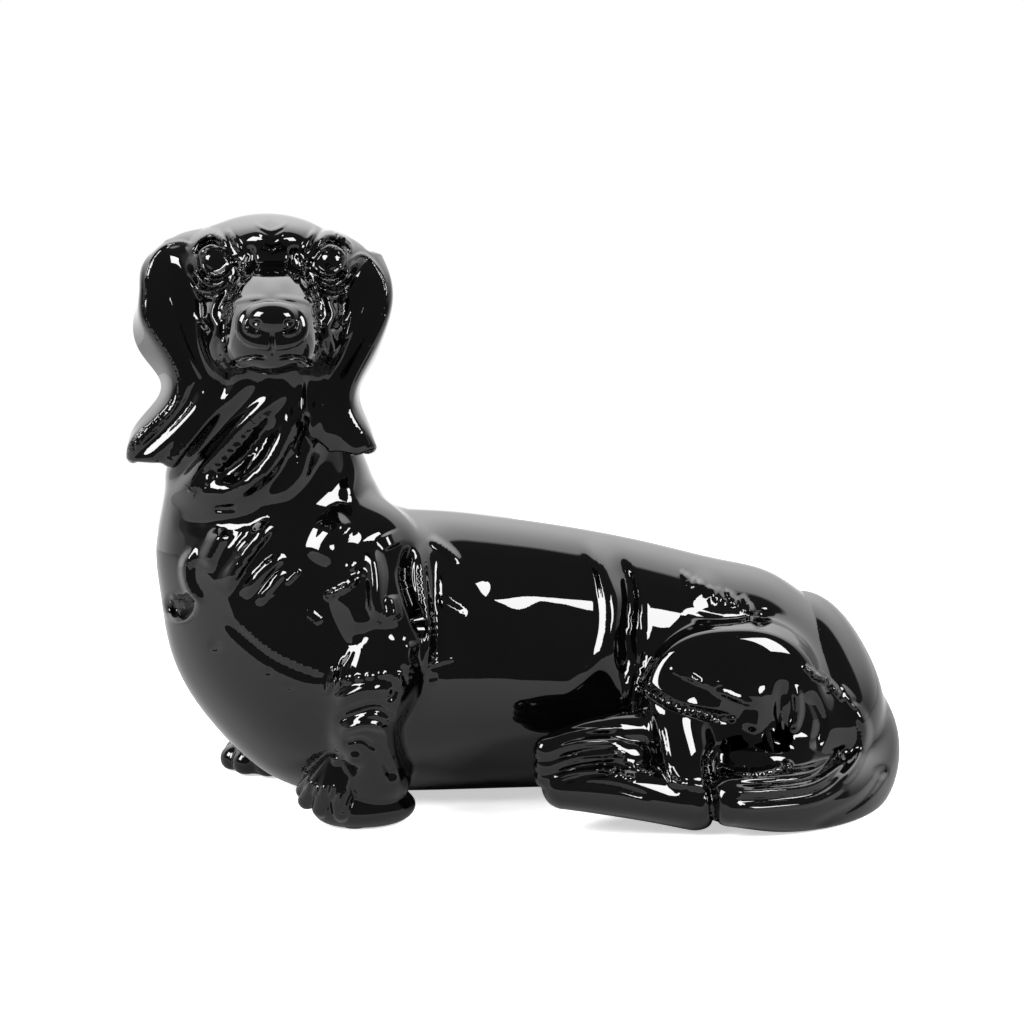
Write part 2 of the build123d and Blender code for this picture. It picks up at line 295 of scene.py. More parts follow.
class Leaf:
    """An ear: a curved sheet of clay that hangs down the board.

    Each row is (v, [(u, w, half thickness), ...]), from the front rim round to the back.
    """

    def __init__(self, rows, k=5.0, piece="ear_left"):
        self.k, self.piece, self.board, self.cut = k, piece, True, False
        rows = sorted(rows, key=lambda row: row[0])
        v = np.array([row[0] for row in rows], float)
        knots = [[(u, row[0], w, r) for u, w, r in row[1]] for row in rows]
        self.knots = np.array(knots, float)
        self.v = v
        columns = self.columns = self.knots.shape[1]
        self.down, self.round = Spline(v, np.eye(len(v))), Spline(np.arange(columns), np.eye(columns))
        heights = np.arange(v[0], v[-1] + 1.5, 3.0).clip(v[0], v[-1])
        self.s, self.t = np.meshgrid(np.linspace(0, columns - 1, 19), heights)
        self.s, self.t = self.s.ravel(), self.t.ravel()
        self.grid = self.sheet(self.s, self.t)[0]
        pad = self.grid[:, 3].max() + k + SPARE
        self.low, self.high = self.grid[:, :3].min(0) - pad, self.grid[:, :3].max(0) + pad

    def sheet(self, s, t):
        """The sheet's middle and half thickness, and how they change round and down it."""
        a, da = self.round(s)
        b, db = self.down(t)
        return [np.einsum("nj,ni,ijc->nc", x, y, self.knots) for x, y in ((a, b), (da, b), (a, db))]

    def distance(self, q):
        near = ((q**2).sum(1)[:, None] - 2 * q @ self.grid[:, :3].T + (self.grid[:, :3] ** 2).sum(1)).argmin(1)
        s, t = self.s[near], self.t[near]
        for _ in range(3):
            value, ds, dt = self.sheet(s, t)
            rel, ds, dt = q - value[:, :3], ds[:, :3], dt[:, :3]
            ss, st, tt = (ds * ds).sum(1) + 0.5, (ds * dt).sum(1), (dt * dt).sum(1) + 0.01
            rs, rt = (rel * ds).sum(1), (rel * dt).sum(1)
            det = ss * tt - st**2
            s = np.clip(s + np.clip((rs * tt - rt * st) / det, -0.3, 0.3), 0, self.columns - 1)
            t = np.clip(t + np.clip((rt * ss - rs * st) / det, -4, 4), self.v[0], self.v[-1])
        value = self.sheet(s, t)[0]
        return np.linalg.norm(q - value[:, :3], axis=1) - value[:, 3]

    def seeds(self):
        for u, v, w, r in self.grid:
            yield np.array([u, v, w]), np.eye(3) * max(r, 2.2)


class Stroke:
    """A ridge or a groove drawn on the clay along a curve on the board.

    height is how far it stands up, or sinks where it is negative. It fades over width to
    the left of the curve's run and over right to its right, and over a share of fade at its
    ends. It marks only the clay that lies higher over the board than over, by default the
    near side of the body.
    """

    def __init__(self, points, height, width, right=None, over=None, fade=0.25):
        self.line = smooth_curve([p[:2] for p in points], 2.5)
        run = np.concatenate([[0], np.cumsum(np.linalg.norm(np.diff(self.line, axis=0), axis=1))])
        self.run = run / run[-1]
        self.height, self.left, self.right = height, width, right or width
        self.over, self.fade = over, fade
        reach = max(self.left, self.right)
        self.low, self.high = self.line.min(0) - reach, self.line.max(0) + reach

    def lift(self, q):
        d, t = segment_distance(q[:, :2], self.line)
        i = d.argmin(1)
        rows = np.arange(len(q))
        a = self.line[i]
        ab = self.line[i + 1] - a
        rel = q[:, :2] - a
        side = ab[:, 0] * rel[:, 1] - ab[:, 1] * rel[:, 0]
        turn = side / np.maximum(np.abs(side), 1e-9) * np.minimum(np.abs(side) / 2.0, 1.0)
        width = self.right + (self.left - self.right) * (turn + 1) / 2
        x = np.minimum(d[rows, i] / width, 1.0)
        soft = (1 - x**2) ** 3
        share = self.run[i] + t[rows, i] * (self.run[i + 1] - self.run[i])
        end = np.clip(np.minimum(share, 1 - share) / self.fade, 0, 1) if self.fade else 1.0
        over = -16 - 0.15 * q[:, 0] if self.over is None else self.over
        near = np.clip((q[:, 2] - over) / 8.0, 0, 1)
        return self.height * soft * (end**2 * (3 - 2 * end)) * near**2 * (3 - 2 * near)


MASSES = []
STROKES = []


def add(mass):
    MASSES.append(mass)


def both(make, u, *rest):
    """Make the same mass on both sides of the head's middle."""
    for side in (-1, 1):
        make(side, side * u, *rest)


HEAD_U, HEAD_V, HEAD_W = -118.2, 123.0, 70.0


def head(u, v, w):
    """A point of the head, from the skull's centre, on the board."""
    return (HEAD_U + u, HEAD_V + v, HEAD_W + w)


def seen(points):
    """Limb points given as seen on the board (u, v), a depth y and a radius."""
    return [(*flank(u, v, y), r) for u, v, y, r in points]


def ridge(points, height, width, right=None, **more):
    STROKES.append(Stroke(points, height, width, right, **more))


def dimple(u, v, height, width, **more):
    """A round bump, or a hollow where height is negative."""
    STROKES.append(Stroke([(u - 0.4, v), (u + 0.4, v)], height, width, fade=0, **more))


def beads(points, count, height, width, **more):
    """A row of small bumps, like pressed rope."""
    line = smooth_curve(points, 1.0)
    for i in np.linspace(0, len(line) - 1, count).astype(int):
        dimple(line[i][0], line[i][1], height, width, **more)


def comb(start, end, count, along, height, width, seed, **more):
    """Parallel strokes of a comb in the clay, set side by side from start to end."""
    rng = np.random.default_rng(seed)
    start, end, along = (np.asarray(p, float) for p in (start, end, along))
    for i in range(count):
        middle = start + (end - start) * i / max(count - 1, 1) + rng.normal(0, 0.7, 2)
        reach = along * rng.uniform(0.35, 0.6)
        bend = np.array([-along[1], along[0]]) * rng.uniform(-0.08, 0.08)
        ridge([middle - reach, middle + bend, middle + reach], height * rng.uniform(0.6, 1.2), width, **more)


def model_trunk():
    add(Ball((-122, 0, 124), (47, 50, 46)))
    add(Ball((-112, 0, 92), (58, 58, 58), k=30))
    add(Loft(0, [(-92, 0, 70, 62, 67), (-50, 0, 71, 62, 70), (-10, 0, 68.5, 59, 68.5), (35, 0, 64, 57, 65),
                 (75, 0, 59, 56, 60.5), (110, 0, 54, 55, 56), (135, 0, 49.5, 51, 52.5), (148, 0, 45, 47, 48)],
             caps=(58, 31), k=36))
    add(Loft(2, [(130, -118, 0, 52, 50), (155, -118, -2, 50, 47), (178, -120, -6, 43, 42),
                 (205, -119, -12, 36, 36), (235, -118, -20, 34, 34)], caps=(40, 30), k=24))
    add(Limb([(-112, 70, 58, 11), (-106, 52, 60, 11), (-104, 34, 58, 10)], k=9, board=True))
    add(Limb([(-142, 72, 56, 11), (-148, 58, 57, 11), (-156, 42, 55, 10)], k=9, board=True))
    # Folds of loose skin that run down the neck from the jaw to the far shoulder.
    ridge([(-146, 66), (-156, 50), (-172, 33), (-184, 22)], 3.2, 8)
    ridge([(-128, 68), (-146, 48), (-164, 27), (-176, 10)], 3.4, 8)
    ridge([(-108, 62), (-130, 45), (-152, 22), (-166, 4)], 3.4, 7)
    ridge([(-104, 58), (-111, 38), (-121, 22), (-141, 6)], 3.6, 8)
    ridge([(-117, 48), (-128, 30), (-147, 12)], -3.6, 8)
    ridge([(-119, 45), (-128, 26), (-137, 15)], 1.0, 2.2)
    beads([(-123, 45), (-137, 30), (-149, 17), (-158, 10)], 12, 1.7, 3.2)
    ridge([(-92, 62), (-99, 40), (-104, 20), (-122, 2)], 2.6, 8)
    ridge([(-99, 50), (-105, 36), (-107, 22)], -1.2, 3)
    comb((-104, 46), (-107, 26), 7, (5, 5), 0.5, 2.0, 3)
    ridge([(-80, 40), (-76, 20), (-84, 4)], 2.2, 9)
    # The chest: the breastbone's hook, its pit, locks of hair, and the fold at the elbow.
    ridge([(-155, -17), (-161, -26), (-160, -37), (-153, -47)], 3.0, 6, 4)
    dimple(-163, -47, -6.5, 9.5)
    ridge([(-169, -42), (-164, -44), (-160, -50)], 1.6, 2.4)
    ridge([(-174, 14), (-150, 10), (-128, 16), (-112, 30)], 3.0, 12)
    ridge([(-168, -6), (-148, -6), (-126, -2), (-112, 12)], -2.4, 10, 9)
    ridge([(-148, 1.5), (-135, 2)], -1.2, 3)
    ridge([(-152, -28), (-146, -16), (-141, -8)], 3.4, 7)
    ridge([(-143, -40), (-131, -22), (-117, -4)], 3.6, 8, 5)
    ridge([(-133, -42), (-123, -30), (-111, -20)], 2.6, 5)
    ridge([(-126, -46), (-118, -36), (-111, -28)], 1.8, 4)
    comb((-136, -14), (-116, -38), 9, (9, 12), 0.5, 2.0, 4)
    ridge([(-112, -36), (-104, -28)], 1.4, 2.4)
    ridge([(-102, -48), (-93, -55)], 1.0, 4.5)
    ridge([(-144, -50), (-122, -69), (-107, -77), (-90, -83)], -1.0, 2.2, 6)
    dimple(-146, -66, -0.7, 5)
    dimple(-120, -79, -0.4, 3)
    dimple(-110, -86, -0.4, 3.5)
    # Ribs, and the skin behind the upper arm.
    ridge([(-41, -12), (-30, -20), (-25, -26)], 1.4, 4)
    ridge([(-50, -14), (-53, -32), (-48, -50), (-42, -64)], -3.6, 4.5)
    ridge([(-45, -14), (-44, -36), (-41, -58), (-42, -82)], 2.4, 4.5)
    ridge([(-38, -20), (-37, -50), (-37, -80)], -1.6, 5)
    beads([(-38, -50), (-39, -84)], 9, 0.5, 2.2)
    ridge([(-38, -42), (-22, -52)], 1.0, 4)
    ridge([(-40, -75), (-28, -72)], 0.8, 2)
    dimple(-18, -34, 1.0, 10)
    dimple(-6, -58, 0.8, 26)
    # The fold of skin before the haunch, and the hollow flank.
    ridge([(38, -12), (46, -34), (48, -58), (40, -86)], 3.6, 14, 8)
    ridge([(50, -20), (59, -40), (57, -62), (61, -88)], -3.6, 6, 9)
    ridge([(60, -30), (62, -50), (63, -66)], 1.6, 6)
    dimple(42, -90, -2.0, 16)
    comb((86, -33), (118, -47), 13, (4, -9), 1.2, 2.2, 7)
    ridge([(84, -50), (104, -53), (128, -50)], -1.4, 4)
    dimple(123, -52, -2.4, 7)
    dimple(94, -38, 2.0, 12)
    comb((148, -78), (166, -92), 9, (8, -9), 1.3, 2.6, 8)
    # The firing vent under the belly.
    add(Ball((4.6, 0, 3), (4.5, 4.5, 9), k=0.5, cut=True))


def model_forelegs():
    left = "foreleg_left"
    add(Ball(flank(-72, -20, -32), (24, 22, 24), k=26, piece=left))
    add(Limb(seen([(-86, -18, -36, 21), (-74, -40, -45, 22), (-64, -64, -49, 22), (-69, -84, -54, 22),
                   (-73, -102, -56, 18), (-70, -118, -54, 15)]), k=10, piece=left))
    add(Ball(flank(-68, -130, -50), (18, 16, 15), k=8, piece=left))
    add(Ball((-79, -49, 8), (25, 16.5, 11), k=6, piece=left))
    for tip, y in (((-102, -137), -42), ((-101, -142), -50), ((-94, -146), -57), ((-84, -148), -62)):
        knuckle = (tip[0] * 0.6 - 34, tip[1] * 0.6 - 49, y * 0.6 - 22, 6.2)
        add(Limb(seen([(-82, -118, -54, 7), knuckle, (*tip, y, 4.4)]), k=1.4, piece=left))
    # Muscles of the shoulder and upper arm.
    ridge([(-97, -26), (-90, -13), (-80, -2)], 3.0, 13)
    ridge([(-90, -19), (-84, -12), (-79, -6)], -1.0, 4)
    ridge([(-70, -14), (-67, -30), (-66, -48), (-58, -56)], 3.2, 7)
    ridge([(-62, -10), (-58, -18)], 1.8, 8)
    ridge([(-60, -40), (-57, -54)], 2.4, 5)
    ridge([(-76, -22), (-74, -44), (-72, -56)], -2.0, 7)
    beads([(-90, -41), (-80, -36), (-74, -30)], 7, 1.3, 3.2)
    dimple(-79, -27, 1.0, 4)
    ridge([(-80, -62), (-66, -58), (-52, -60)], -1.6, 7)
    ridge([(-50, -62), (-52, -72), (-48, -80)], 1.8, 6)
    comb((-90, -84), (-80, -76), 6, (4, 16), 1.0, 2.2, 11)
    ridge([(-62, -80), (-58, -88), (-62, -94)], -1.2, 3.5)
    ridge([(-56, -78), (-54, -88)], 1.2, 3)
    beads([(-86, -84), (-64, -80)], 5, 1.0, 3)
    # Wrinkles of the wrist, and the toes.
    ridge([(-88, -94), (-74, -88), (-62, -88)], 1.8, 5)
    ridge([(-88, -104), (-76, -99), (-66, -97), (-57, -103)], -2.0, 4)
    ridge([(-86, -109), (-72, -105), (-60, -108)], 1.8, 4)
    ridge([(-84, -114), (-74, -112), (-66, -118)], -1.2, 3)
    dimple(-78, -123, 2.6, 8)
    dimple(-86, -122, 1.4, 4)
    ridge([(-71, -108), (-62, -124), (-58, -134)], -1.2, 5)
    comb((-100, -136), (-80, -142), 7, (-3, -8), 0.8, 1.8, 12)
    right = "foreleg_right"
    add(Limb([(-95, 34, 128, 24), (-88, 44, 90, 21)], k=20, piece=right))
    add(Limb([(-88, 46, 88, 19), (-106, 45, 60, 18), (-112, 41, 34, 17)], k=12, piece=right))
    add(Ball(flank(-116, -117, 40), (22, 20, 15), k=8, piece=right))
    for tip, y in (((-135, -118), 48), ((-137, -121), 40), ((-131, -123), 31), ((-120, -124), 26)):
        add(Limb(seen([(-114, -116, 40, 10), (*tip, y, 7)]), k=2.5, piece=right))


def model_hind_legs():
    left = "hind_leg_left"
    haunch = []
    for y, v in ((-60, -57), (-44, -52), (-20, -52)):
        x, _, top = flank(108, v, y)
        haunch.append((y, x, (top + 8) / 2, 44, (top - 8) / 2))
    add(Loft(1, haunch, caps=(13, 26), k=7, piece=left, power=2.5))
    add(Ball(flank(146, -100, -20), (36, 44, 38.5), k=30, piece=left))
    add(Ball(flank(120, -117, -56), (32, 30, 15), k=14, piece=left))
    add(Limb(seen([(80, -98, -62, 15), (81, -114, -72, 16), (86, -132, -79, 15)]), k=16, piece=left))
    add(Limb(seen([(90, -144, -84, 12.5), (70, -140, -86, 12.5), (45, -136, -84, 12.5), (26, -135, -80, 11)]),
             k=7, piece=left))
    add(Limb(seen([(60, -108, -70, 10), (42, -109, -76, 8), (22, -114, -76, 6)]), k=5, piece=left))
    for v, r in ((-117, 6.5), (-124, 6.2), (-130, 6)):
        add(Limb(seen([(58, -121, -78, 9), (38, v + 2, -81, 7.5), (17, v, -80, r)]), k=2, piece=left))
    ridge([(60, -82), (72, -91), (85, -97), (112, -103)], -2.6, 4)
    beads([(64, -84), (76, -93), (92, -99), (108, -102)], 14, 1.1, 2.6)
    ridge([(70, -98), (73, -110), (77, -128), (84, -138)], 2.4, 5, 4)
    ridge([(62, -74), (58, -84), (56, -96)], 1.4, 3)
    ridge([(66, -68), (62, -80)], -1.0, 2.5)
    comb((84, -80), (112, -92), 7, (14, -5), 0.7, 3.2, 21)
    ridge([(120, -84), (122, -98), (116, -110)], 2.6, 9)
    ridge([(140, -84), (141, -98), (138, -110)], 2.2, 4)
    ridge([(134, -82), (132, -100), (136, -116)], -1.8, 5)
    ridge([(146, -88), (152, -104), (148, -118)], -1.6, 5)
    ridge([(98, -117), (112, -115), (142, -118)], -1.2, 4)
    beads([(104, -126), (120, -128), (136, -124)], 9, 1.4, 3.2)
    ridge([(100, -112), (96, -124), (99, -142), (100, -158)], -2.6, 4)
    beads([(80, -133), (98, -136)], 5, 1.4, 4)
    for v in (-112, -119, -126, -132):
        ridge([(20, v - 3), (34, v + 1), (54, v + 3)], -1.1, 2.4)
    for v in (-109, -115, -122, -129):
        ridge([(18, v - 3), (32, v + 1), (56, v + 3)], 0.8, 1.8)
    beads([(44, -126), (58, -131)], 4, 1.2, 3.4)
    ridge([(28, -133), (50, -135), (70, -141)], -1.6, 3)
    comb((50, -118), (66, -128), 5, (9, -2), 0.9, 2.2, 23)
    add(Ball((112, 30, 44), (54, 40, 42), k=16, piece="hind_leg_right"))


def model_tail():
    add(Limb([(158, 10, 40, 15), (172, -12, 32, 18), *seen([(171, -128, -46, 18), (155, -140, -76, 17),
              (128, -142, -91, 15), (108, -142, -95, 12.5)])], k=7, piece="tail"))
    for v in (0, 1, 2, 3):
        ridge([(104, -134 - 4.2 * v), (128, -133 - 4.2 * v), (150, -129 - 4.6 * v), (168, -112 - 7 * v)],
              1.3 if v % 2 else -1.3, 2.6)
    ridge([(168, -92), (174, -108), (168, -126), (156, -137)], 2.2, 5)
    ridge([(186, -123), (172, -142), (146, -156)], -1.2, 4)
    dimple(182, -128, -0.8, 5)


def model_head():
    def ball(centre, radii, k, **more):
        add(Ball(head(*centre), radii, k=k, piece="head", board=True, **more))
    ball((-3, -6, -8), (43, 30, 40), 14)
    ball((-35, 3, -6), (20, 13, 21), 8)
    ball((31, 1, -6), (17, 12, 20), 8)
    ball((0, 11, 12), (22, 10, 22), 12)
    both(lambda side, u: ball((u, -1, 8), (17, 13, 20), 9), 24)
    both(lambda side, u: ball((u, -30, 6), (15, 26, 24), 12), 22)
    add(Loft(2, [(72, HEAD_U, 103, 24, 22), (92, HEAD_U, 99.5, 21, 24.5), (115, HEAD_U, 95.5, 21.5, 24),
                 (133, HEAD_U, 92, 21.5, 21), (144, HEAD_U, 90.5, 20, 16.5), (149, HEAD_U, 91.5, 18, 12)],
             caps=(10, 5), k=8, piece="head", board=True, power=2.4))
    both(lambda side, u: ball((u, -39, 62), (11, 14, 13), 6), 10.5)
    ball((0, -49, 56), (13, 6.5, 16), 4)
    ball((0, -27, 80), (13.4, 8, 8.5), 2.0)
    both(lambda side, u: ball((u, 1, 40), (12.5, 10.5, 12), 5, cut=True), 29)
    both(lambda side, u: ball((u, 1, 21), 7.6, 1.5), 29)
    both(lambda side, u: ball((u, -30, 89), (3.0, 2.2, 4.5), 1.5, cut=True), 8.5)
    face = {"over": 60}
    middle = HEAD_U
    for side in (-1, 1):
        def at(*points, s=side):
            return [(middle + s * u, v) for u, v in points]
        # Brows, lids and the pouches under the eyes, one line inside the other.
        ridge(at((21, 129), (28, 137), (36, 134), (41, 126)), 2.2, 4, **face)
        ridge(at((22, 129), (28, 133.5), (35, 131), (38.5, 126)), -1.4, 2.2, **face)
        ridge(at((20.5, 127), (28, 131.5), (34, 129.5), (37.5, 124)), 1.5, 2.2, **face)
        ridge(at((20, 123), (24, 128.5), (30, 129.5), (36, 125)), 1.3, 1.7, **face)
        ridge(at((20, 122), (25, 117.5), (31, 117.5), (36.5, 123)), 1.6, 2.0, **face)
        ridge(at((19, 119), (26, 114.5), (33, 115.5), (38, 121)), -1.2, 1.8, **face)
        ridge(at((20, 116), (27, 112), (34, 113), (39.5, 120)), 1.7, 2.6, **face)
        ridge(at((21, 112.5), (28, 108.5), (36, 110), (41, 118)), -1.3, 2.2, **face)
        ridge(at((23, 109.5), (30, 105.5), (38, 108)), 1.2, 2.8, **face)
        ridge(at((18, 124), (16, 116), (19, 110)), 1.2, 2.4, **face)
        dimple(middle + side * 18, 123, -1.6, 3.2, **face)
        ridge(at((23, 140), (18, 133), (15, 127)), 1.4, 3, **face)
        ridge(at((12, 132), (10, 124), (14, 112)), -1.2, 3.5, **face)
        comb(at((14, 124))[0], at((24, 100))[0], 12, (3 * side, -6), 0.5, 1.4, 31 + side, **face)
        comb(at((22, 104))[0], at((25, 76))[0], 10, (4 * side, -6), 0.5, 1.6, 35 + side, **face)
        # Cheek folds, the upper lip's edge and the nostril's wing.
        ridge(at((24, 112), (30, 98), (27, 90), (31, 78)), 1.8, 4, **face)
        ridge(at((36, 110), (34, 96), (29, 88)), -1.8, 4, **face)
        ridge(at((25, 90), (24, 80), (19, 72), (10, 70)), 1.6, 3.4, **face)
        ridge(at((22, 100), (17, 104), (6, 105.5), (0, 105)), 0.6, 2.6, over=100)
        ridge(at((12.5, 96), (13, 90), (8, 87.5), (4, 89)), 1.3, 2.0, over=100)
        ridge(at((1, 75), (8, 76.5), (16, 75), (22, 71)), -1.6, 1.8, over=80)
        dimple(middle + side * 9, 116, 0.8, 9, over=60)
    ridge([(middle, 89), (middle, 76)], -1.4, 2.2, over=100)
    for v, wide in ((140, 9), (136.5, 8), (133, 6.5), (129.5, 5)):
        ridge([(middle - wide, v + 2.5), (middle, v - 1.5), (middle + wide, v + 2.5)], 0.5, 1.9, over=50)
    ridge([(middle, 146), (middle, 126)], -0.9, 7, over=30)


def model_ears():
    add(Leaf([
        (131, [(-154, 69, 3.2), (-160, 71, 3.2), (-166, 71, 2.8), (-169, 68, 2.8), (-167, 55, 3.6)]),
        (124, [(-153, 76, 3.2), (-163, 77, 3.2), (-173, 77, 2.6), (-177.5, 74, 2.6), (-176, 56, 3.8)]),
        (110, [(-152, 79, 3.4), (-165, 79, 3.4), (-177, 79.5, 2.6), (-181, 76, 2.6), (-179, 54, 4)]),
        (96, [(-150, 80, 3.4), (-163, 79.5, 3.4), (-176, 80, 2.6), (-181, 77, 2.6), (-182, 53, 4.2)]),
        (82, [(-147, 79, 3.4), (-157, 78, 3.4), (-168, 79, 2.6), (-173.5, 76, 2.6), (-180, 52, 4.4)]),
        (68, [(-146, 76, 3.4), (-154, 75, 3.4), (-161, 76, 2.8), (-166, 74, 2.8), (-170, 52, 4.4)]),
        (54, [(-147, 72, 3.4), (-155, 70, 3.4), (-162, 71, 2.8), (-167.5, 72.5, 2.8), (-171, 53, 4.4)]),
        (42, [(-156, 70, 3.4), (-165, 68, 3.4), (-173, 69.5, 2.8), (-178, 71.5, 2.8), (-181, 56, 4.2)]),
        (32, [(-164, 68, 3.2), (-173, 66.5, 3.2), (-182, 68, 2.6), (-186.5, 69.5, 2.6), (-186, 58, 3.6)]),
        (27, [(-168, 65, 2.8), (-177, 67, 2.8), (-184, 68, 2.4), (-187.5, 66, 2.4), (-186.5, 60, 3)]),
    ], piece="ear_right"))
    ridge([(-169, 114), (-165, 94), (-159, 78), (-150, 62)], 0.6, 2.4, over=40)
    ridge([(-180, 104), (-180, 118), (-174, 129), (-164, 133), (-154, 130), (-149, 124)], 0.9, 1.8, over=40)
    add(Leaf([
        (125, [(-76, 64, 3), (-72, 68, 3.2), (-69, 67, 2.8), (-66.5, 64, 2.8), (-69, 54, 3.6)]),
        (117, [(-80, 75, 3.2), (-73, 76, 3.2), (-67, 75, 2.6), (-63, 72, 2.6), (-65, 55, 3.8)]),
        (104, [(-84, 80, 3.4), (-75, 78, 3.4), (-66, 77.5, 2.6), (-61.5, 74.5, 2.6), (-63, 54, 4)]),
        (90, [(-89, 81, 3.4), (-80, 79, 3.4), (-71, 79, 2.6), (-65.5, 76, 2.6), (-66, 53, 4.2)]),
        (76, [(-96, 79, 3.4), (-87, 77, 3.4), (-78.5, 77.5, 2.6), (-72.5, 75, 2.6), (-72, 53, 4.4)]),
        (62, [(-99, 76, 3.4), (-92, 75, 3.4), (-85, 76, 2.8), (-79.5, 73.5, 2.8), (-79, 53, 4.4)]),
        (50, [(-99, 74, 3.4), (-92, 73, 3.4), (-85, 74, 2.8), (-79.5, 71.5, 2.8), (-78, 55, 4.4)]),
        (40, [(-96, 71, 3.4), (-88, 72, 3.4), (-80, 73, 2.6), (-74, 70.5, 2.6), (-73.5, 57, 4.2)]),
        (32, [(-89, 68, 2.8), (-81, 69, 2.8), (-74, 69.5, 2.4), (-69.5, 67.5, 2.4), (-70, 61, 3.2)]),
    ], piece="ear_left"))
    ridge([(-72, 112), (-78, 92), (-88, 74), (-94, 58)], 0.6, 2.4, over=40)
    ridge([(-62, 98), (-62, 112), (-67, 122), (-74, 127), (-82, 122)], 0.9, 1.8, over=40)


CELL = 26.0  # the clay is settled in cells of this size
ROUGH_GRAIN = 4.0
RIM_DEPTH = 1.5  # how far a cut edge is turned inwards
PIECES = ("trunk", "head", "ear_left", "ear_right", "foreleg_left", "foreleg_right",
          "hind_leg_left", "hind_leg_right", "tail")


def reaches(thing, low, high):
    """Whether a mass or a stroke reaches into a box."""
    dims = len(thing.low)
    return bool((thing.low <= high[:dims]).all() and (thing.high >= low[:dims]).all())


def clay(points, masses, strokes):
    """Signed distance of points to the clay's skin, near it."""
    board = to_board(points)
    d = np.full(len(points), 1e3)
    for mass in masses:
        m = mass.distance(board if mass.board else points)
        d = -blend(-d, m, mass.k) if mass.cut else blend(d, m, mass.k)
    for stroke in strokes:
        d = d - stroke.lift(board)
    return -blend(-d, points[:, 2] - SOLE, 2.5)


CORNERS = np.array([[1, 1, 1], [1, -1, -1], [-1, 1, -1], [-1, -1, 1]], float)


def slope(points, masses, strokes, eps):
    """Distance and its gradient, from four points around each one."""
    around = (points[None] + CORNERS[:, None] * eps).reshape(-1, 3)
    f = clay(around, masses, strokes).reshape(4, -1)
    return f.mean(0), (f[:, :, None] * CORNERS[:, None]).sum(0) / (4 * eps)


def settle(points, steps, strokes=True, eps=0.3, normal_eps=0.45):
    """Move points onto the clay's skin; return them, their normals and their pieces."""
    keys = np.floor(points / CELL).astype(int)
    order = np.lexsort(keys.T)
    breaks = np.flatnonzero((np.diff(keys[order], axis=0) != 0).any(1)) + 1
    out, normals = points.copy(), np.zeros_like(points)
    piece = np.zeros(len(points), int)
    for group in np.split(order, breaks):
        p = points[group]
        board = to_board(p)
        span = ((p.min(0) - 6, p.max(0) + 6), (board.min(0) - 6, board.max(0) + 6))
        masses = [m for m in MASSES if reaches(m, *span[m.board])]
        lines = [s for s in STROKES if reaches(s, *span[1])] if strokes else []
        for _ in range(steps):
            f, g = slope(p, masses, lines, eps)
            move = f / np.maximum((g**2).sum(1), 0.25)
            p = p - g * np.clip(move, -2.5, 2.5)[:, None]
        _, g = slope(p, masses, lines, normal_eps)
        out[group] = p
        normals[group] = g / np.maximum(np.linalg.norm(g, axis=1), 1e-9)[:, None]
        board = to_board(p)
        best = np.full(len(p), 1e9)
        for m in masses:
            if not m.cut:
                near = m.distance(board if m.board else p)
                closer = near < best
                best[closer] = near[closer]
                piece[group[closer]] = PIECES.index(m.piece)
    return out, normals, piece


def rough_clay():
    """A mesh of the masses before they are blended, from a small ball at each seed."""
    bm = bmesh.new()
    bmesh.ops.create_icosphere(bm, subdivisions=2, radius=1.0)
    ball = bpy.data.meshes.new("ball")
    bm.to_mesh(ball)
    bm.clear()
    for mass in MASSES:
        if mass.cut:
            continue
        start = len(bm.verts)
        for centre, axes in mass.seeds():
            lump = ball.copy()
            lump.transform(Matrix(np.block([[axes, centre[:, None]], [np.zeros(3), 1]]).tolist()))
            bm.from_mesh(lump)
            bpy.data.meshes.remove(lump)
        if mass.board:
            bm.verts.ensure_lookup_table()
            for vert in bm.verts[start:]:
                vert.co = from_board(*vert.co)
    mesh = bpy.data.meshes.new("rough clay")
    bm.to_mesh(mesh)
    bm.free()
    bpy.data.meshes.remove(ball)
    return mesh


def remesh(mesh, voxel):
    """The same body with an even mesh of quads."""
    obj = bpy.data.objects.new("remesh", mesh)
    bpy.context.collection.objects.link(obj)
    mod = obj.modifiers.new("voxels", "REMESH")
    mod.mode = "VOXEL"
    mod.voxel_size = voxel
    mod.use_smooth_shade = True
    fine = bpy.data.meshes.new_from_object(obj.evaluated_get(bpy.context.evaluated_depsgraph_get()))
    bpy.data.objects.remove(obj)
    bpy.data.meshes.remove(mesh)
    return fine


def get_points(mesh):
    flat = np.empty(3 * len(mesh.vertices))
    mesh.vertices.foreach_get("co", flat)
    return flat.reshape(-1, 3)


def put_points(mesh, points):
    mesh.vertices.foreach_set("co", points.ravel())
    mesh.update()


def keep_normals(mesh, normals):
    """Note the clay's own normals on the mesh, for the end."""
    note = mesh.attributes.get("clay normal") or mesh.attributes.new("clay normal", "FLOAT_VECTOR", "POINT")
    note.data.foreach_set("vector", normals.ravel())


